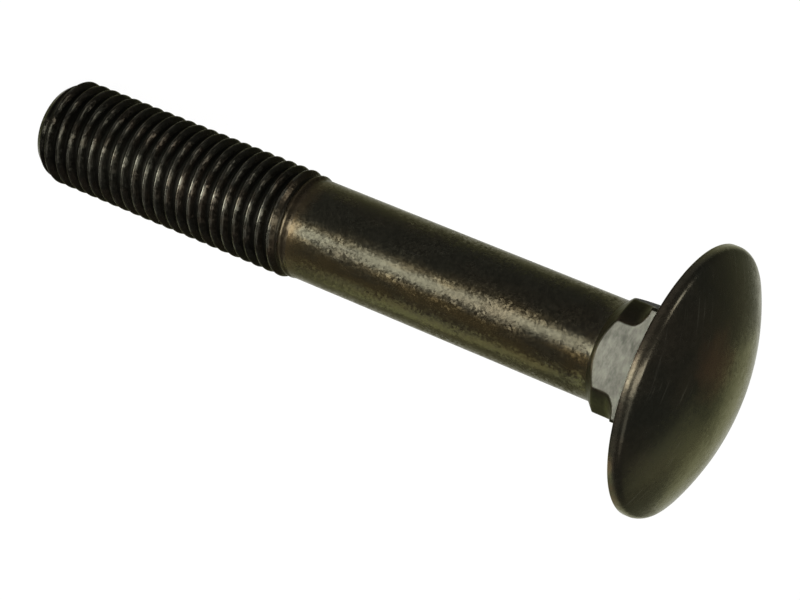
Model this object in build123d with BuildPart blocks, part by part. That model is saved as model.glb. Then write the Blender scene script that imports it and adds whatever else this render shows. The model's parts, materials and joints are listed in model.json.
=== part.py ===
from build123d import *
import os

os.makedirs("parts", exist_ok=True)

# Shank and threaded end, in millimetres
nominal_diameter = 16.0
pitch = 2.0
thread_allowance = 0.2
length = 105.0
thread_length = 45.5
crest_rise_length = 2.5
tip_chamfer_length = 2.0
tip_diameter = 12.8

# Domed head
head_diameter = 38.8
head_height = 7.0
rim_height = 1.5
rim_round = 1.4

# Square neck under the head
neck_width = 16.2
neck_length = 10.5
neck_corner_length = 4.5
neck_corner_round = 0.4
neck_turned_diameter = 18.8
neck_cove_radius = 2.0

# How far a cutting profile passes the surface that it cuts
overrun = 0.1

# Share of the pitch by which a blank for rolling is thinner than the nominal diameter
rolled_blank_share = 0.6495

crest_radius = (nominal_diameter - thread_allowance) / 2
shank_radius = (nominal_diameter - rolled_blank_share * pitch) / 2
tip_radius = tip_diameter / 2
head_radius = head_diameter / 2
thread_start = length - thread_length

# The bolt stands on its tip: its axis is Z, with the bearing face at Z = 0 and the head above it

# Square neck: full corners at the head, turned down through a cove and coned towards the shank
turned_radius = neck_turned_diameter / 2
cove_end = neck_corner_length + neck_cove_radius
with BuildPart() as neck:
    with BuildSketch():
        RectangleRounded(neck_width, neck_width, neck_corner_round)
    extrude(amount=-neck_length)
    with BuildSketch(Plane.XZ):
        with BuildLine():
            cove = CenterArc((turned_radius + neck_cove_radius, -cove_end), neck_cove_radius, 90, 90)
            Polyline(
                cove @ 1,
                (turned_radius, turned_radius - shank_radius - neck_length),
                (shank_radius - overrun, -neck_length - overrun),
                (0, -neck_length - overrun),
                (0, 0),
                (neck_width + neck_cove_radius, 0),
                (neck_width + neck_cove_radius, -neck_corner_length),
                cove @ 0,
            )
        make_face()
    revolve(axis=Axis.Z, mode=Mode.INTERSECT)

# Whole bolt: one turned profile of head, shank and threaded end, with the neck on it
with BuildPart() as bolt:
    with BuildSketch(Plane.XZ):
        with BuildLine():
            dome = TangentArc((0, head_height), (head_radius, rim_height), tangent=(1, 0))
            Polyline(
                dome @ 1,
                (head_radius, 0),
                (shank_radius, 0),
                (shank_radius, -thread_start),
                (crest_radius, -thread_start - crest_rise_length),
                (crest_radius, tip_chamfer_length - length),
                (tip_radius, -length),
                (0, -length),
                dome @ 0,
            )
        outline = make_face()
        rim_corner = outline.vertices().group_by(Axis.X)[-1].sort_by(Axis.Y)[-1]
        fillet(rim_corner, radius=rim_round)
    revolve(axis=Axis.Z)
    add(neck.part)

bolt.part.label = "bolt"
export_step(bolt.part, "parts/bolt.step")
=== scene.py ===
import bpy
import bmesh
import json
from math import cos, pi, radians, sin, tau
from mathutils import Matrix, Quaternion, Vector


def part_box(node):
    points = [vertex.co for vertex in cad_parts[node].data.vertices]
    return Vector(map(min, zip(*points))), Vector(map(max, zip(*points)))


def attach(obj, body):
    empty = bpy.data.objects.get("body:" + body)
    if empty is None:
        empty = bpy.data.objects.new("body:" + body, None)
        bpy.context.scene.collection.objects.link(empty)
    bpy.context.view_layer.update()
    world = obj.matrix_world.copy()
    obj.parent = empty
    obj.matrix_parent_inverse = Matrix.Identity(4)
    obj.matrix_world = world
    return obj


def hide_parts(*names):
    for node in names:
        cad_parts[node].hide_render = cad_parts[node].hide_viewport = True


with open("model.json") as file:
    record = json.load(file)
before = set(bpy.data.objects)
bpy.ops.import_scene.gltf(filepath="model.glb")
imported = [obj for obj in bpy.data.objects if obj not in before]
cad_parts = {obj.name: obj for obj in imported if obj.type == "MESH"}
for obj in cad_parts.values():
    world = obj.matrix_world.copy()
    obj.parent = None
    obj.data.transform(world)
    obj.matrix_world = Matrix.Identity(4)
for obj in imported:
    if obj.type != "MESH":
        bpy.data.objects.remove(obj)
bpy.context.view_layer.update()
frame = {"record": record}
mm = 0.001

mounts = {mount["name"]: mount["dims"] for mount in frame["record"]["mounts"]}
low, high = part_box("bolt")

# Sizes of the bolt in metres, measured down from the bearing face where they run along the axis
boltSizes = {
    "Head Radius": high.x,
    "Head Height": high.z,
    "Rim Height": 1.5 * mm,
    "Rim Round": 1.4 * mm,
    "Rim Edge Round": 0.15 * mm,
    "Neck Half Width": 8.1 * mm,
    "Neck Length": mounts["square_neck"]["length_mm"] * mm,
    "Neck Squareness": 50.0,            # exponent of the rounded square, higher for sharper corners
    "Turned Radius": 9.4 * mm,
    "Cove Radius": 2.0 * mm,
    "Cove End": 6.5 * mm,
    "Edge Softness": 0.25 * mm,
    "Shank Radius": mounts["shank"]["r_mm"] * mm,
    "Length": -low.z,
    "Thread Length": 45.5 * mm,
    "Pitch": 2.0 * mm,
    "Crest Radius": mounts["thread"]["r_mm"] * mm,
    "Root Radius": 6.773 * mm,
    "Crest Flat Share": 0.12,           # of half a pitch
    "Root Flat Share": 0.17,
    "Thread Phase": 0.0,                # in turns, steps of a twelfth keep a row of points on the crest
    "Run-out Length": 4.0 * mm,
    "Crest Rise": 2.5 * mm,
    "Tip Radius": 6.4 * mm,
    "Tip Chamfer": 2.0 * mm,
    "Tip Softness": 0.1 * mm,
    "Tip Dish": 0.2 * mm,
    "Skin Unevenness": 0.03 * mm,
    "Skin Ripple Size": 4.0 * mm,
}

# How many faces go round the axis and along each stretch
boltRows = {
    "round": 192, "dome": 44, "rim": 8, "land": 3, "edge": 5, "seat": 10, "neck": 52, "shank": 24,
    "perTurn": 12, "tip": 8,
}
weldDistance = 0.002 * mm               # points nearer than this are joined


class Field:  # a socket with arithmetic, one Math node for each step
    def __init__(self, tree, socket):
        self.tree = tree
        self.socket = socket

    def calc(self, operation, *terms):
        return calc(self.tree, operation, self, *terms)

    def __add__(self, other):
        return calc(self.tree, "ADD", self, other)

    def __radd__(self, other):
        return calc(self.tree, "ADD", other, self)

    def __sub__(self, other):
        return calc(self.tree, "SUBTRACT", self, other)

    def __rsub__(self, other):
        return calc(self.tree, "SUBTRACT", other, self)

    def __mul__(self, other):
        return calc(self.tree, "MULTIPLY", self, other)

    def __truediv__(self, other):
        return calc(self.tree, "DIVIDE", self, other)

    def __rtruediv__(self, other):
        return calc(self.tree, "DIVIDE", other, self)


def plug(tree, socket, term):
    if isinstance(term, Field):
        tree.links.new(term.socket, socket)
    elif isinstance(term, bpy.types.NodeSocket):
        tree.links.new(term, socket)
    else:
        socket.default_value = term


def addNode(tree, kind, *terms, operation=None, **named):
    node = tree.nodes.new(kind)
    if operation:
        node.operation = operation
    for socket, term in zip(node.inputs, terms):
        plug(tree, socket, term)
    for name, term in named.items():
        plug(tree, node.inputs[name], term)
    return node


def calc(tree, operation, *terms):
    return Field(tree, addNode(tree, "ShaderNodeMath", *terms, operation=operation).outputs[0])


def vectorStep(tree, operation, *terms, **named):
    return addNode(tree, "ShaderNodeVectorMath", *terms, operation=operation, **named).outputs[0]


def ramp(value, fromLow, fromHigh, toLow, toHigh, smooth=False):
    node = addNode(value.tree, "ShaderNodeMapRange", value, fromLow, fromHigh, toLow, toHigh)
    node.interpolation_type = "SMOOTHSTEP" if smooth else "LINEAR"
    return Field(value.tree, node.outputs[0])


# Geometry Nodes: every stretch of the bolt is a grid wrapped once round the axis
def ringZone(tree, rows):
    grid = addNode(tree, "GeometryNodeMeshGrid", 1.0, 1.0, boltRows["round"] + 1, rows + 1)
    spot = addNode(tree, "ShaderNodeSeparateXYZ", addNode(tree, "GeometryNodeInputPosition").outputs[0])
    turns = Field(tree, spot.outputs["X"]) + 0.5
    along = Field(tree, spot.outputs["Y"]) + 0.5
    return grid.outputs["Mesh"], turns, along


def wrapZone(tree, mesh, turns, radius, height, finish):
    angle = turns * tau
    x, y = angle.calc("COSINE") * radius, angle.calc("SINE") * radius
    point = addNode(tree, "ShaderNodeCombineXYZ", x, y, height)
    moved = addNode(tree, "GeometryNodeSetPosition", Geometry=mesh, Position=point.outputs[0])
    painted = addNode(tree, "GeometryNodeSetMaterial", Geometry=moved.outputs[0], Material=finish)
    return painted.outputs[0]


def squareRadius(size, turns):  # rounded square, flats across X and Y
    angle = turns * tau
    power = size["Neck Squareness"]
    sumOfPowers = angle.calc("COSINE").calc("ABSOLUTE").calc("POWER", power)
    sumOfPowers = sumOfPowers + angle.calc("SINE").calc("ABSOLUTE").calc("POWER", power)
    return size["Neck Half Width"] / sumOfPowers.calc("POWER", 1.0 / power)


def headZones(tree, size, finish):
    domeRise = size["Head Height"] - size["Rim Height"]
    domeRadius = (size["Head Radius"] * size["Head Radius"] + domeRise * domeRise) / (domeRise * 2.0)
    domeCentre = size["Head Height"] - domeRadius
    roundCentre = size["Head Radius"] - size["Rim Round"]
    innerRadius = domeRadius - size["Rim Round"]
    domeEnd = (roundCentre / innerRadius).calc("ARCSINE")
    roundHeight = domeCentre + (innerRadius * innerRadius - roundCentre * roundCentre).calc("SQRT")
    zones = []

    mesh, turns, along = ringZone(tree, boltRows["dome"])
    tilt = along * domeEnd
    radius = tilt.calc("SINE") * domeRadius
    height = domeCentre + tilt.calc("COSINE") * domeRadius
    zones.append(wrapZone(tree, mesh, turns, radius, height, finish))

    mesh, turns, along = ringZone(tree, boltRows["rim"])
    tilt = domeEnd + along * (pi / 2 - domeEnd)
    radius = roundCentre + tilt.calc("SINE") * size["Rim Round"]
    height = roundHeight + tilt.calc("COSINE") * size["Rim Round"]
    zones.append(wrapZone(tree, mesh, turns, radius, height, finish))

    mesh, turns, along = ringZone(tree, boltRows["land"])
    edgeRound = size["Rim Edge Round"]
    height = roundHeight + along * (edgeRound - roundHeight)
    zones.append(wrapZone(tree, mesh, turns, size["Head Radius"], height, finish))

    mesh, turns, along = ringZone(tree, boltRows["edge"])
    tilt = (along + 1.0) * (pi / 2)
    seatRadius = size["Head Radius"] - edgeRound
    radius = seatRadius + tilt.calc("SINE") * edgeRound
    height = edgeRound + tilt.calc("COSINE") * edgeRound
    zones.append(wrapZone(tree, mesh, turns, radius, height, finish))

    mesh, turns, along = ringZone(tree, boltRows["seat"])
    radius = seatRadius + (squareRadius(size, turns) - seatRadius) * along
    zones.append(wrapZone(tree, mesh, turns, radius, 0.0, finish))
    return zones


def neckZone(tree, size, finish):  # the square, turned down through a cove and coned to the shank
    mesh, turns, along = ringZone(tree, boltRows["neck"])
    depth = along * size["Neck Length"]
    cove = size["Cove Radius"]
    drop = (size["Cove End"] - depth).calc("MAXIMUM", 0.0).calc("MINIMUM", cove)
    turned = size["Turned Radius"] + cove - (cove * cove - drop * drop).calc("MAXIMUM", 0.0).calc("SQRT")
    # clear of the square at the head, so that the first row meets the seat
    turned = turned + (size["Cove End"] - cove - depth).calc("MAXIMUM", 0.0)
    coneStart = size["Neck Length"] - (size["Turned Radius"] - size["Shank Radius"])
    turned = turned - (depth - coneStart).calc("MAXIMUM", 0.0)
    radius = squareRadius(size, turns).calc("SMOOTH_MIN", turned, size["Edge Softness"])
    radius = radius.calc("MAXIMUM", size["Shank Radius"])
    return wrapZone(tree, mesh, turns, radius, depth * -1.0, finish)


def shankZone(tree, size, finish):
    mesh, turns, along = ringZone(tree, boltRows["shank"])
    plain = size["Length"] - size["Thread Length"] - size["Neck Length"]
    depth = size["Neck Length"] + along * plain
    return wrapZone(tree, mesh, turns, size["Shank Radius"], depth * -1.0, finish)


def threadZones(tree, size, finish):  # rows of points follow the right-hand helix, between two wedges of rows
    rows = round(boltSizes["Thread Length"] / boltSizes["Pitch"] * boltRows["perTurn"])
    turnDrop = size["Thread Length"] * (boltRows["perTurn"] / rows)
    zones = []

    mesh, turns, along = ringZone(tree, boltRows["perTurn"])
    zones.append(threadZone(tree, size, mesh, turns, along * turnDrop * (1.0 - turns), finish))

    mesh, turns, along = ringZone(tree, rows - boltRows["perTurn"])
    down = turnDrop * (1.0 - turns) + along * (size["Thread Length"] - turnDrop)
    zones.append(threadZone(tree, size, mesh, turns, down, finish))

    mesh, turns, along = ringZone(tree, boltRows["perTurn"])
    down = size["Thread Length"] - turnDrop * turns * (1.0 - along)
    zones.append(threadZone(tree, size, mesh, turns, down, finish))
    return zones


def threadZone(tree, size, mesh, turns, down, finish):
    phase = (down / size["Pitch"] + turns + size["Thread Phase"]).calc("FRACT")
    away = (phase * 2.0 - 1.0).calc("ABSOLUTE")
    ridge = ramp(away, size["Crest Flat Share"], 1.0 - size["Root Flat Share"], 1.0, 0.0)
    root = ramp(down, 0.0, size["Run-out Length"], size["Shank Radius"], size["Root Radius"])
    crest = ramp(down, 0.0, size["Crest Rise"], size["Shank Radius"], size["Crest Radius"])
    toTip = size["Thread Length"] - down
    cone = size["Tip Radius"] + toTip * (size["Crest Radius"] - size["Tip Radius"]) / size["Tip Chamfer"]
    radius = (root + (crest - root) * ridge).calc("SMOOTH_MIN", cone, size["Tip Softness"])
    return wrapZone(tree, mesh, turns, radius, (size["Length"] - toTip) * -1.0, finish)


def tipZone(tree, size, finish):
    mesh, turns, along = ringZone(tree, boltRows["tip"])
    height = size["Tip Dish"] * ramp(along, 0.0, 1.0, 0.0, 1.0, smooth=True) - size["Length"]
    return wrapZone(tree, mesh, turns, size["Tip Radius"] * (1.0 - along), height, finish)


def buildBoltTree(finishes):
    tree = bpy.data.node_groups.new("turnedBolt", "GeometryNodeTree")
    tree.interface.new_socket("Geometry", in_out="OUTPUT", socket_type="NodeSocketGeometry")
    for name in boltSizes:
        tree.interface.new_socket(name, in_out="INPUT", socket_type="NodeSocketFloat")
    entry = tree.nodes.new("NodeGroupInput")
    size = {name: Field(tree, entry.outputs[name]) for name in boltSizes}

    zones = headZones(tree, size, finishes["head"])
    zones.append(neckZone(tree, size, finishes["neck"]))
    zones.append(shankZone(tree, size, finishes["shank"]))
    zones.extend(threadZones(tree, size, finishes["thread"]))
    zones.append(tipZone(tree, size, finishes["thread"]))
    join = tree.nodes.new("GeometryNodeJoinGeometry")
    for zone in zones:
        tree.links.new(zone, join.inputs[0])
    weld = addNode(tree, "GeometryNodeMergeByDistance", Geometry=join.outputs[0], Distance=weldDistance)
    weld = addNode(tree, "GeometryNodeFlipFaces", weld.outputs[0])

    # forging skin: shallow hollows only, so that nothing stands proud of the true size
    ripple = addNode(tree, "ShaderNodeTexNoise", Scale=(1.0 / size["Skin Ripple Size"]), Detail=2.0)
    sink = Field(tree, ripple.outputs[0]) * size["Skin Unevenness"] * -1.0
    hollow = vectorStep(tree, "SCALE", addNode(tree, "GeometryNodeInputNormal").outputs[0], Scale=sink)
    moved = addNode(tree, "GeometryNodeSetPosition", Geometry=weld.outputs[0], Offset=hollow)
    smooth = addNode(tree, "GeometryNodeSetShadeSmooth", moved.outputs[0])
    real = addNode(tree, "GeometryNodeRealizeInstances", smooth.outputs[0])
    leave = tree.nodes.new("NodeGroupOutput")
    tree.links.new(real.outputs[0], leave.inputs[0])
    return tree


def buildBolt(finishes):
    tree = buildBoltTree(finishes)
    maker = bpy.data.objects.new("boltMaker", bpy.data.meshes.new("boltMaker"))
    bpy.context.scene.collection.objects.link(maker)
    modifier = maker.modifiers.new("turnedBolt", "NODES")
    modifier.node_group = tree
    for item in tree.interface.items_tree:
        if item.in_out == "INPUT":
            modifier[item.identifier] = boltSizes[item.name]
    made = maker.evaluated_get(bpy.context.evaluated_depsgraph_get())
    mesh = bpy.data.meshes.new_from_object(made)
    maker.modifiers.remove(modifier)
    bpy.data.objects.remove(maker)

    work = bmesh.new()
    work.from_mesh(mesh)
    bmesh.ops.remove_doubles(work, verts=work.verts, dist=weldDistance / 2)
    bmesh.ops.recalc_face_normals(work, faces=work.faces)
    openEdges = sum(1 for edge in work.edges if not edge.is_manifold)
    work.to_mesh(mesh)
    work.free()
    bolt = bpy.data.objects.new("forged_bolt", mesh)
    bpy.context.scene.collection.objects.link(bolt)
    triangles = sum(len(face.vertices) - 2 for face in mesh.polygons)
    print("bolt:", triangles, "triangles,", openEdges, "open edges")
    return bolt


# Materials
def blend(tree, share, first, second):
    node = tree.nodes.new("ShaderNodeMix")
    node.data_type = "RGBA"
    plug(tree, node.inputs[0], share)
    plug(tree, node.inputs[6], first)
    plug(tree, node.inputs[7], second)
    return node.outputs[2]


def noise(tree, vector, scale, detail=3.0, roughness=0.55):  # scale in features per metre
    values = {"Vector": vector, "Scale": scale, "Detail": detail, "Roughness": roughness}
    return Field(tree, addNode(tree, "ShaderNodeTexNoise", **values).outputs[0])


def objectSpot(tree):
    spot = addNode(tree, "ShaderNodeTexCoord").outputs["Object"]
    parts = addNode(tree, "ShaderNodeSeparateXYZ", spot)
    return spot, *[Field(tree, parts.outputs[name]) for name in "XYZ"]


def startGroup(name, inputs, outputs):  # socket names with the kinds Color, Float or Vector
    tree = bpy.data.node_groups.new(name, "ShaderNodeTree")
    for socketName, kind in inputs.items():
        tree.interface.new_socket(socketName, in_out="INPUT", socket_type="NodeSocket" + kind)
    for socketName, kind in outputs.items():
        tree.interface.new_socket(socketName, in_out="OUTPUT", socket_type="NodeSocket" + kind)
    entry = tree.nodes.new("NodeGroupInput")
    leave = tree.nodes.new("NodeGroupOutput")
    return tree, {socketName: Field(tree, entry.outputs[socketName]) for socketName in inputs}, leave


# Forging skin: how patches, clouds and flakes mix, the same on every stretch
skinTexture = {
    "stretch": (1.0, 1.0, 0.4),         # patches run along the axis
    "cloudRatio": 4.0, "cloudShare": 0.2, "brownFrom": 0.42, "brownTo": 0.64,
    "cloudGloss": 0.2, "grainGloss": 0.1, "calmTilt": 0.4, "roughTilt": 1.2,
}


def buildForgedSkin():  # black oiled scale: brown patches, shallow waves, a fine grain and small flakes
    inputs = {
        "Black": "Color", "Brown": "Color", "Brown Share": "Float", "Patch Scale": "Float",
        "Wave Scale": "Float", "Wave Height": "Float", "Grain Scale": "Float", "Grain Height": "Float",
        "Flake Tilt": "Float", "Flake Gain": "Float", "Gloss": "Float",
    }
    outputs = {"Color": "Color", "Roughness": "Float", "Normal": "Vector"}
    tree, given, leave = startGroup("forgedSkin", inputs, outputs)
    spot = addNode(tree, "ShaderNodeTexCoord").outputs["Object"]
    drawn = addNode(tree, "ShaderNodeMapping", spot, Scale=skinTexture["stretch"]).outputs[0]
    patch = noise(tree, drawn, given["Patch Scale"], 2.0, 0.5)
    cloud = noise(tree, drawn, given["Patch Scale"] * skinTexture["cloudRatio"], 3.0, 0.6)
    grain = noise(tree, spot, given["Grain Scale"], 2.0, 0.6)
    mottle = patch + (cloud - 0.5) * skinTexture["cloudShare"]
    brownFrom, brownTo = skinTexture["brownFrom"], skinTexture["brownTo"]
    share = ramp(mottle, brownFrom, brownTo, 0.0, given["Brown Share"], smooth=True)
    flakes = addNode(tree, "ShaderNodeTexVoronoi", Vector=spot, Scale=given["Grain Scale"])
    fleck = Field(tree, addNode(tree, "ShaderNodeSeparateColor", flakes.outputs["Color"]).outputs[0])
    gain = 1.0 + (fleck * 2.0 - 1.0) * given["Flake Gain"]
    colour = blend(tree, share, given["Black"], given["Brown"])
    plug(tree, leave.inputs["Color"], vectorStep(tree, "SCALE", colour, Scale=gain))
    rough = given["Gloss"] + (cloud - 0.5) * skinTexture["cloudGloss"]
    plug(tree, leave.inputs["Roughness"], rough + (grain - 0.5) * skinTexture["grainGloss"])

    waves = noise(tree, drawn, given["Wave Scale"], 1.0, 0.5)
    bump = addNode(tree, "ShaderNodeBump", Distance=given["Wave Height"], Height=waves)
    wavy = bump.outputs[0]
    bump = addNode(tree, "ShaderNodeBump", Distance=given["Grain Height"], Height=grain, Normal=wavy)
    tilt = vectorStep(tree, "SUBTRACT", flakes.outputs["Color"], (0.5, 0.5, 0.5))
    lift = given["Flake Tilt"] * ramp(cloud, 0.4, 0.6, skinTexture["calmTilt"], skinTexture["roughTilt"])
    tilt = vectorStep(tree, "SCALE", tilt, Scale=lift)
    normal = vectorStep(tree, "ADD", bump.outputs[0], tilt)
    plug(tree, leave.inputs["Normal"], vectorStep(tree, "NORMALIZE", normal))
    return tree


scuffTexture = {"lineFrom": 0.62, "lineTo": 0.72, "patchScale": 150.0, "patchFrom": 0.45, "patchTo": 0.62}


def buildScuffs():  # fine rubbed marks in one direction, 1 where the skin is rubbed
    inputs = {"Turn": "Vector", "Stretch": "Vector", "Amount": "Float"}
    tree, given, leave = startGroup("scuffs", inputs, {"Mask": "Float"})
    spot = addNode(tree, "ShaderNodeTexCoord").outputs["Object"]
    laid = addNode(tree, "ShaderNodeMapping", spot, Rotation=given["Turn"], Scale=given["Stretch"])
    lines = noise(tree, laid.outputs[0], 1.0, 2.0, 0.6)
    patch = noise(tree, spot, scuffTexture["patchScale"], 2.0, 0.5)
    mask = ramp(lines, scuffTexture["lineFrom"], scuffTexture["lineTo"], 0.0, 1.0)
    mask = mask * ramp(patch, scuffTexture["patchFrom"], scuffTexture["patchTo"], 0.0, 1.0, smooth=True)
    plug(tree, leave.inputs["Mask"], mask * given["Amount"])
    return tree


skinValues = {
    "head": {"Black": (0.011, 0.0109, 0.0085, 1), "Brown": (0.0195, 0.0155, 0.0108, 1), "Brown Share": 0.45,
             "Patch Scale": 70.0, "Wave Scale": 170.0, "Wave Height": 0.08 * mm, "Grain Scale": 2200.0,
             "Grain Height": 0.006 * mm, "Flake Tilt": 0.05, "Flake Gain": 0.12, "Gloss": 0.26},
    "shank": {"Black": (0.0068, 0.0065, 0.0048, 1), "Brown": (0.01, 0.0078, 0.005, 1), "Brown Share": 0.5,
              "Patch Scale": 90.0, "Wave Scale": 260.0, "Wave Height": 0.075 * mm, "Grain Scale": 2800.0,
              "Grain Height": 0.022 * mm, "Flake Tilt": 0.17, "Flake Gain": 0.3, "Gloss": 0.25},
    "thread": {"Black": (0.0077, 0.0074, 0.0059, 1), "Brown": (0.0125, 0.0096, 0.007, 1), "Brown Share": 0.6,
               "Patch Scale": 200.0, "Wave Scale": 300.0, "Wave Height": 0.04 * mm, "Grain Scale": 2400.0,
               "Grain Height": 0.016 * mm, "Flake Tilt": 0.16, "Flake Gain": 0.2, "Gloss": 0.24},
    "neck": {"Black": (0.0055, 0.005, 0.0035, 1), "Brown": (0.01, 0.0076, 0.005, 1), "Brown Share": 0.5,
             "Patch Scale": 200.0, "Wave Scale": 300.0, "Wave Height": 0.02 * mm, "Grain Scale": 2200.0,
             "Grain Height": 0.01 * mm, "Flake Tilt": 0.08, "Flake Gain": 0.15, "Gloss": 0.4},
}
darkMetal = {"Metallic": 0.85, "Specular IOR Level": 0.15}
edgeTints = {
    "head": (0.8, 0.8, 0.6, 1), "shank": (0.66, 0.65, 0.52, 1), "thread": (0.5, 0.5, 0.4, 1),
    "neck": (0.7, 0.7, 0.56, 1),
}


def startFinish(zone, name, skinTree):
    material = bpy.data.materials.new(name)
    material.use_nodes = True
    tree = material.node_tree
    shader = tree.nodes["Principled BSDF"]
    for socketName, value in darkMetal.items():
        shader.inputs[socketName].default_value = value
    shader.inputs["Specular Tint"].default_value = edgeTints[zone]
    skin = tree.nodes.new("ShaderNodeGroup")
    skin.node_tree = skinTree
    for socketName, value in skinValues[zone].items():
        skin.inputs[socketName].default_value = value
    plug(tree, shader.inputs["Normal"], skin.outputs["Normal"])
    return material, tree, shader, skin


def addScuffs(tree, scuffTree, values):
    scuffs = tree.nodes.new("ShaderNodeGroup")
    scuffs.node_tree = scuffTree
    for socketName in ("Turn", "Stretch", "Amount"):
        scuffs.inputs[socketName].default_value = values["scuff" + socketName]
    return Field(tree, scuffs.outputs["Mask"])


headValues = {
    "rubbed": (0.04, 0.038, 0.03, 1),
    "scuffTurn": (0.0, 0.0, 0.6), "scuffStretch": (2500.0, 130.0, 130.0), "scuffAmount": 0.7,
    "rust": (0.04, 0.02, 0.013, 1), "rustFrom": 1.6 * mm, "rustTo": 0.2 * mm, "rustShare": 0.8,
    "rustScale": 160.0, "rustRoughness": 0.15,
    "rustSide": (0.3, 0.8), "cleanShare": 0.1,      # the rust lies on the +Y side, in shares of the radius
    # painted shade: a near-black band on the head's seat and lowest edge, weaker on the rusty side
    "under": (0.003, 0.003, 0.0024, 1), "underFrom": 0.35 * mm, "underTo": 0.16 * mm, "underRusty": 0.3,
    "stainAndSheen": (0.04, 0.023, 0.014, 1), "stainPlace": (6.0 * mm, -4.0 * mm), "stainSize": 6.0 * mm,
    "stainCore": 1.2 * mm, "stainShare": 0.7, "stainAndSheenScale": 300.0,
}


def buildHeadFinish(skinTree, scuffTree):  # scuffed dome, rusty along one side of the rim's edge
    values = headValues
    material, tree, shader, skin = startFinish("head", "head_skin", skinTree)
    spot, x, y, z = objectSpot(tree)
    patch = ramp(noise(tree, spot, values["rustScale"]), 0.4, 0.6, 0.0, values["rustShare"], smooth=True)
    side = ramp(y / boltSizes["Head Radius"], *values["rustSide"], values["cleanShare"], 1.0, smooth=True)
    edge = ramp(z, values["rustFrom"], values["rustTo"], 0.0, 1.0, smooth=True) * patch * side
    # painted shade darkens the seat and the lowest strip of the head's edge, less where the rim is rusty
    under = ramp(z, values["underFrom"], values["underTo"], 0.0, 1.0)
    under = under * ramp(side, values["cleanShare"], 1.0, 1.0, values["underRusty"])
    colour = blend(tree, under, skin.outputs["Color"], values["under"])
    colour = blend(tree, edge, colour, values["rust"])
    toX = x - values["stainPlace"][0]
    toY = y - values["stainPlace"][1]
    ragged = (noise(tree, spot, values["stainAndSheenScale"]) - 0.5) * values["stainSize"]
    away = (toX * toX + toY * toY).calc("SQRT") + ragged
    stainAndSheen = ramp(away, values["stainSize"], values["stainCore"], 0.0, values["stainShare"], smooth=True)
    colour = blend(tree, stainAndSheen, colour, values["stainAndSheen"])
    scuffs = addScuffs(tree, scuffTree, values)
    plug(tree, shader.inputs["Base Color"], blend(tree, scuffs, colour, values["rubbed"]))
    rough = Field(tree, skin.outputs["Roughness"]) + edge * values["rustRoughness"]
    plug(tree, shader.inputs["Roughness"], rough)
    return material


shankValues = {
    "rubbed": (0.02, 0.019, 0.0155, 1),
    "scuffTurn": (0.0, 0.0, 0.0), "scuffStretch": (1800.0, 1800.0, 160.0), "scuffAmount": 0.3,
    "stainAndSheen": (0.014, 0.0103, 0.0047, 1), "sheenStretch": (1.0, 1.0, 0.3), "stainAndSheenScale": 300.0,
    "sheenLeast": 0.25, "sheenMost": 1.0, "streakScale": 420.0, "streakShare": 0.35,
    # two stripes of painted brown sheen beside the lamps' highlight line: where each starts, is full, fades
    # and ends, in shares of the radius along Y
    "faintStripe": (-0.35, -0.15, -0.12, 0.02), "faintShare": 0.35, "faintRest": 0.1,
    "fullStripe": (0.14, 0.32, 0.6, 0.85), "fullRest": 0.2,
    "rust": (0.0155, 0.0108, 0.0056, 1), "rustFrom": -57.0 * mm, "rustTo": -59.5 * mm, "rustShare": 0.6,
    "rustScale": 500.0, "rustRagged": 3.0 * mm, "rustRoughness": 0.12,
}


def buildShankFinish(skinTree, scuffTree):  # painted brown sheen in stripes beside the lamps' highlight line, rubbed scuffs, rusty where the thread begins
    values = shankValues
    material, tree, shader, skin = startFinish("shank", "shank_skin", skinTree)
    spot, _, y, z = objectSpot(tree)
    drawn = addNode(tree, "ShaderNodeMapping", spot, Scale=values["sheenStretch"]).outputs[0]
    streak = (noise(tree, drawn, values["streakScale"]) - 0.5) * values["streakShare"]
    aside = y / boltSizes["Shank Radius"] + streak
    # painted sheen: brown stripes on either side of where the lamps' highlight runs, broken by patchy noise
    start, full, fade, end = values["faintStripe"]
    faint = ramp(aside, start, full, 0.0, values["faintShare"], smooth=True)
    faint = faint * ramp(aside, fade, end, 1.0, values["faintRest"], smooth=True)
    start, full, fade, end = values["fullStripe"]
    stainAndSheen = ramp(aside, start, full, 0.0, 1.0, smooth=True) * ramp(aside, fade, end, 1.0, values["fullRest"])
    patch = noise(tree, drawn, values["stainAndSheenScale"])
    stainAndSheen = faint.calc("MAXIMUM", stainAndSheen)
    stainAndSheen = stainAndSheen * ramp(patch, 0.32, 0.6, values["sheenLeast"], values["sheenMost"], smooth=True)
    colour = blend(tree, stainAndSheen, skin.outputs["Color"], values["stainAndSheen"])
    colour = blend(tree, addScuffs(tree, scuffTree, values), colour, values["rubbed"])
    ragged = (noise(tree, spot, values["rustScale"]) - 0.5) * values["rustRagged"]
    edge = ramp(z + ragged, values["rustFrom"], values["rustTo"], 0.0, values["rustShare"], smooth=True)
    plug(tree, shader.inputs["Base Color"], blend(tree, edge, colour, values["rust"]))
    rough = Field(tree, skin.outputs["Roughness"]) + edge * values["rustRoughness"]
    plug(tree, shader.inputs["Roughness"], rough)
    return material


threadValues = {
    "worn": (0.024, 0.0232, 0.0194, 1), "wornFrom": 0.25 * mm, "wornTo": 0.02 * mm,     # below the crests
    "wornScale": 450.0, "wornRagged": 0.4,
    "rust": (0.0145, 0.0105, 0.006, 1), "rustFrom": 6.0 * mm, "rustTo": 1.0 * mm,       # below the run-out
    "rustShare": 0.55, "rustRagged": 6.0, "rustRoughness": 0.1,
    "valleyDark": (0.0024, 0.0023, 0.0019, 1), "valleyDarkFrom": 0.15 * mm, "valleyDarkTo": 0.5 * mm,  # darker, rougher valleys above the roots
    "valleyDarkRoughness": 0.3, "valleyDarkFade": 0.5 * mm,
    "raggedScale": 700.0, "raggedSize": 0.5 * mm,
}


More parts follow.
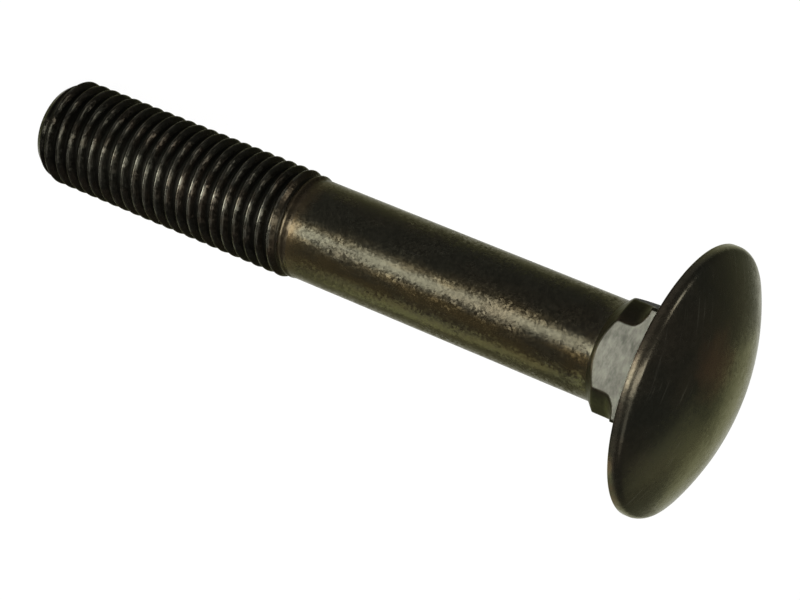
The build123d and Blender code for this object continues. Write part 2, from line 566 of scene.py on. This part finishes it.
def buildThreadFinish(skinTree):  # worn lines on the crests, darker rougher valleys that dim the roots' highlight, rusty turns at the run-out
    values = threadValues
    material, tree, shader, skin = startFinish("thread", "thread_skin", skinTree)
    spot, x, y, z = objectSpot(tree)
    radius = (x * x + y * y).calc("SQRT")
    ragged = (noise(tree, spot, values["raggedScale"]) - 0.5) * values["raggedSize"]
    crest = boltSizes["Crest Radius"]
    worn = radius + ragged * values["wornRagged"]
    worn = ramp(worn, crest - values["wornFrom"], crest - values["wornTo"], 0.0, 1.0)
    broken = noise(tree, spot, values["wornScale"], 3.0, 0.65)
    worn = worn * ramp(broken, 0.42, 0.62, 0.0, 1.0, smooth=True)
    start = -boltSizes["Length"] + boltSizes["Thread Length"]
    rust = z + ragged * values["rustRagged"]
    rustFrom, rustTo = start - values["rustFrom"], start - values["rustTo"]
    rust = ramp(rust, rustFrom, rustTo, 0.0, values["rustShare"], smooth=True)
    colour = blend(tree, rust, skin.outputs["Color"], values["rust"])
    root = boltSizes["Root Radius"]
    tip = -boltSizes["Length"] + boltSizes["Tip Chamfer"]
    # darker and rougher in the valleys above the roots, which dims the highlight the roots would catch
    valleyDark = ramp(radius, root + values["valleyDarkFrom"], root + values["valleyDarkTo"], 1.0, 0.0, smooth=True)
    valleyDark = valleyDark * ramp(z, tip - values["valleyDarkFade"], tip + values["valleyDarkFade"], 0.0, 1.0)
    colour = blend(tree, valleyDark, colour, values["valleyDark"])
    plug(tree, shader.inputs["Base Color"], blend(tree, worn, colour, values["worn"]))
    rough = Field(tree, skin.outputs["Roughness"]) + rust * values["rustRoughness"]
    plug(tree, shader.inputs["Roughness"], rough + valleyDark * values["valleyDarkRoughness"])
    return material


neckValues = {
    "dull": (0.031, 0.031, 0.027, 1), "bright": (0.069, 0.069, 0.06, 1), "dullTo": 0.36, "brightFrom": 0.62,
    "flatMetallic": 0.1, "flatRoughness": 0.75, "specularLevel": 0.02,
    "flatFrom": 0.975, "flatTo": 0.993,     # how squarely a face looks along X or Y
    "edgeScale": 900.0, "edgeRagged": 0.02,
    "grainScale": 1600.0, "grainStretch": (1.0, 0.4, 1.0), "grainShare": 0.6,
    "blotchScale": 420.0, "blotchShare": 0.4,
}


def buildNeckFinish(skinTree):  # bare grey steel on the four flats, skin in the coves and on the cone
    values = neckValues
    material, tree, shader, skin = startFinish("neck", "neck_steel", skinTree)
    spot = addNode(tree, "ShaderNodeTexCoord").outputs["Object"]
    facing = addNode(tree, "ShaderNodeSeparateXYZ", addNode(tree, "ShaderNodeTexCoord").outputs["Normal"])
    square = Field(tree, facing.outputs["X"]).calc("ABSOLUTE")
    square = square.calc("MAXIMUM", Field(tree, facing.outputs["Y"]).calc("ABSOLUTE"))
    ragged = (noise(tree, spot, values["edgeScale"]) - 0.5) * values["edgeRagged"]
    flat = ramp(square + ragged, values["flatFrom"], values["flatTo"], 0.0, 1.0)
    drawn = addNode(tree, "ShaderNodeMapping", spot, Scale=values["grainStretch"]).outputs[0]
    grey = noise(tree, drawn, values["grainScale"], 4.0, 0.7) * values["grainShare"]
    grey = grey + noise(tree, spot, values["blotchScale"], 2.0) * values["blotchShare"]
    shine = ramp(grey, values["dullTo"], values["brightFrom"], 0.0, 1.0)
    steel = blend(tree, shine, values["dull"], values["bright"])
    metallic = ramp(flat, 0.0, 1.0, darkMetal["Metallic"], values["flatMetallic"])
    rough = ramp(flat, 0.0, 1.0, skin.outputs["Roughness"], values["flatRoughness"])
    shader.inputs["Specular IOR Level"].default_value = values["specularLevel"]
    plug(tree, shader.inputs["Base Color"], blend(tree, flat, skin.outputs["Color"], steel))
    plug(tree, shader.inputs["Metallic"], metallic)
    plug(tree, shader.inputs["Roughness"], rough)
    return material


skinTree = buildForgedSkin()
scuffTree = buildScuffs()
finishes = {
    "head": buildHeadFinish(skinTree, scuffTree),
    "neck": buildNeckFinish(skinTree),
    "shank": buildShankFinish(skinTree, scuffTree),
    "thread": buildThreadFinish(skinTree),
}
print("finishes ready:", ", ".join(finishes))
bolt = buildBolt(finishes)
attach(bolt, "root")
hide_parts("bolt")
print("bolt in place")

# Floor, light and camera; a glow of 1 is white to the camera
stageValues = {
    "floorSize": 14.0, "floorColour": (0.8, 0.8, 0.8, 1), "floorRoughness": 0.9,
    "floorGlow": 1.02, "floorGlowShare": 0.94,      # what is left of the share keeps the shadow
    "worldColour": (1.0, 1.0, 1.0, 1), "worldGlow": 0.35,
}
# The strips and pools lie just above the floor and shine straight up, for the bright lines along the bolt
lamps = {
    "threadStrip": {"place": (0.054, 0.01, -0.1), "size": (0.06, 0.023), "glow": 52.0,
                    "colour": (1.0, 1.0, 0.92)},
    "shankStrip": {"place": (0.15, 0.021, -0.1), "size": (0.128, 0.046), "glow": 35.0,
                   "colour": (1.0, 1.0, 0.94)},
    "shankGlow": {"place": (0.182, 0.024, -0.101), "size": (0.185, 0.1), "glow": 6.0,
                  "colour": (1.0, 0.94, 0.78)},
    "neckStrip": {"place": (0.257, 0.033, -0.1), "size": (0.086, 0.125), "glow": 43.0,
                  "colour": (1.0, 1.0, 0.92)},
    "rimPool": {"place": (0.44, 0.03, -0.1), "size": (0.28, 0.09), "glow": 20.0,
                "colour": (1.0, 1.0, 0.86)},
    "sidePool": {"place": (-0.005, 0.217, -0.1), "size": (0.075, 0.24), "glow": 5.0,
                 "colour": (0.9, 1.0, 0.74)},
    "rimPanel": {"place": (1.2, 0.1, 0.07), "aim": (0, 0, 0), "size": (0.2, 0.2), "glow": 20.0,
                 "colour": (1.0, 0.99, 0.93)},
    "frontPanel": {"place": (0.32, 0.06, 0.35), "aim": (0, 0, 0), "size": (0.13, 0.55), "glow": 24.0,
                   "colour": (1.0, 0.99, 0.93)},
    "backPanel": {"place": (-0.57, 0.08, 0.155), "aim": (0, 0, 0), "size": (0.27, 0.3), "glow": 0.62,
                  "colour": (1.0, 0.99, 0.8)},
    "highPanel": {"place": (-0.406, 0.216, 0.386), "aim": (0, 0, 0), "size": (0.26, 0.19), "glow": 1.0,
                  "colour": (1.0, 0.99, 0.8)},
    "headLamp": {"place": (0.05, -0.3, 0.38), "aim": (0, 0, 0), "size": (0.14, 0.14), "glow": 22.0,
                 "colour": (1.0, 0.98, 0.92)},
    "sideBox": {"place": (0.3, 0.5, 0.6), "aim": (0, 0, -0.05), "size": (0.4, 0.4), "glow": 4.0,
                "colour": (1.0, 0.98, 0.92)},
}
photoView = {
    "place": (0.3598, -0.0252, 0.1319), "azimuth": 175.28, "depression": 25.86, "roll": 112.63,  # degrees
    "lens": 129.38, "nearest": 0.01,
}


def buildFloor():
    mesh = bpy.data.meshes.new("floor")
    half = stageValues["floorSize"] / 2
    corners = [(-half, -half, low.z), (half, -half, low.z), (half, half, low.z), (-half, half, low.z)]
    mesh.from_pydata(corners, [], [(0, 1, 2, 3)])
    floor = bpy.data.objects.new("floor", mesh)
    bpy.context.scene.collection.objects.link(floor)
    material = bpy.data.materials.new("pale_floor")
    material.use_nodes = True
    tree = material.node_tree
    shader = tree.nodes["Principled BSDF"]
    shader.inputs["Base Color"].default_value = stageValues["floorColour"]
    shader.inputs["Roughness"].default_value = stageValues["floorRoughness"]
    rays = addNode(tree, "ShaderNodeLightPath")
    seen = Field(tree, rays.outputs["Is Camera Ray"])
    seen = seen.calc("MAXIMUM", rays.outputs["Is Glossy Ray"])
    seen = seen.calc("MAXIMUM", rays.outputs["Is Transmission Ray"])
    share = seen * stageValues["floorGlowShare"]
    glow = addNode(tree, "ShaderNodeEmission", (1, 1, 1, 1), stageValues["floorGlow"])
    mix = addNode(tree, "ShaderNodeMixShader", share, shader.outputs[0], glow.outputs[0])
    tree.links.new(mix.outputs[0], tree.nodes["Material Output"].inputs["Surface"])
    mesh.materials.append(material)


def buildLamp(name, values):
    light = bpy.data.lights.new(name, "AREA")
    light.shape = "RECTANGLE"
    light.size, light.size_y = values["size"]
    light.energy = values["glow"] * pi * light.size * light.size_y
    light.color = values["colour"]
    lamp = bpy.data.objects.new(name, light)
    bpy.context.scene.collection.objects.link(lamp)
    lamp.location = values["place"]
    beam = Vector(values["aim"]) - lamp.location if "aim" in values else Vector((0, 0, 1))
    lamp.rotation_mode = "QUATERNION"
    lamp.rotation_quaternion = beam.to_track_quat("-Z", "Y")
    lamp.visible_camera = False


def buildWorld():
    world = bpy.data.worlds.new("studio")
    bpy.context.scene.world = world
    world.use_nodes = True
    background = world.node_tree.nodes["Background"]
    background.inputs["Color"].default_value = stageValues["worldColour"]
    background.inputs["Strength"].default_value = stageValues["worldGlow"]


def buildCamera():
    camera = bpy.data.objects.new("camera", bpy.data.cameras.new("camera"))
    bpy.context.scene.collection.objects.link(camera)
    azimuth, depression = radians(photoView["azimuth"]), radians(photoView["depression"])
    look = Vector((cos(azimuth) * cos(depression), sin(azimuth) * cos(depression), -sin(depression)))
    roll = Quaternion((0, 0, 1), radians(photoView["roll"]))
    camera.location = photoView["place"]
    camera.rotation_mode = "QUATERNION"
    camera.rotation_quaternion = look.to_track_quat("-Z", "Y") @ roll
    camera.data.lens = photoView["lens"]
    camera.data.clip_start = photoView["nearest"]
    bpy.context.scene.camera = camera


buildFloor()
for lampName, lampValues in lamps.items():
    buildLamp(lampName, lampValues)
buildWorld()
buildCamera()
bpy.context.scene.view_settings.view_transform = "Standard"
print("stage set")
